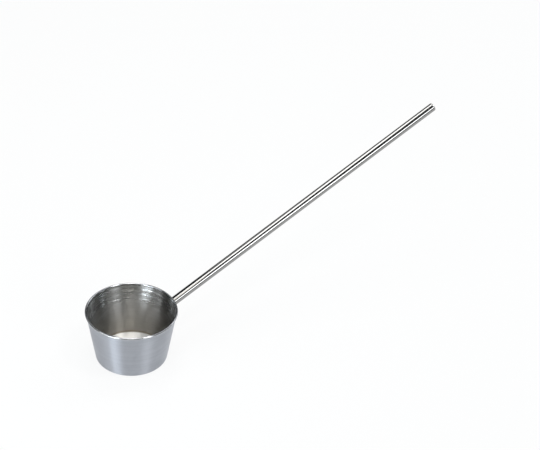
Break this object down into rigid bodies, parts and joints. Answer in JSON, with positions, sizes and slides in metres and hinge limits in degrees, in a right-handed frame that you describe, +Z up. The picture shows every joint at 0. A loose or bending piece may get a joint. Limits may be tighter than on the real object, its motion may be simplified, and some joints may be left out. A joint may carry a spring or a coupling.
{
  "type": "tapered ladle",
  "caption": "Tapered steel ladle: a flat-based flaring cup with a beaded rim and a long straight tube handle welded to its wall, for scooping and pouring liquids.",
  "frame": {"origin": "centre of the cup's flat base, on the surface it stands on", "axes": "+Z up along the cup's axis; +X the way the handle leaves; the handle lies in the XZ plane"},
  "size_m": [0.5636, 0.1256, 0.2442],
  "materials": {
    "cup_steel": "satin",
    "handle_steel": "polished",
    "weld_steel": "satin"
  },
  "bodies": {
    "root": {"cup": "cup_steel", "handle_tube": "handle_steel", "handle_end_plug": "handle_steel", "handle_weld": "weld_steel"}
  },
  "joints": []
}
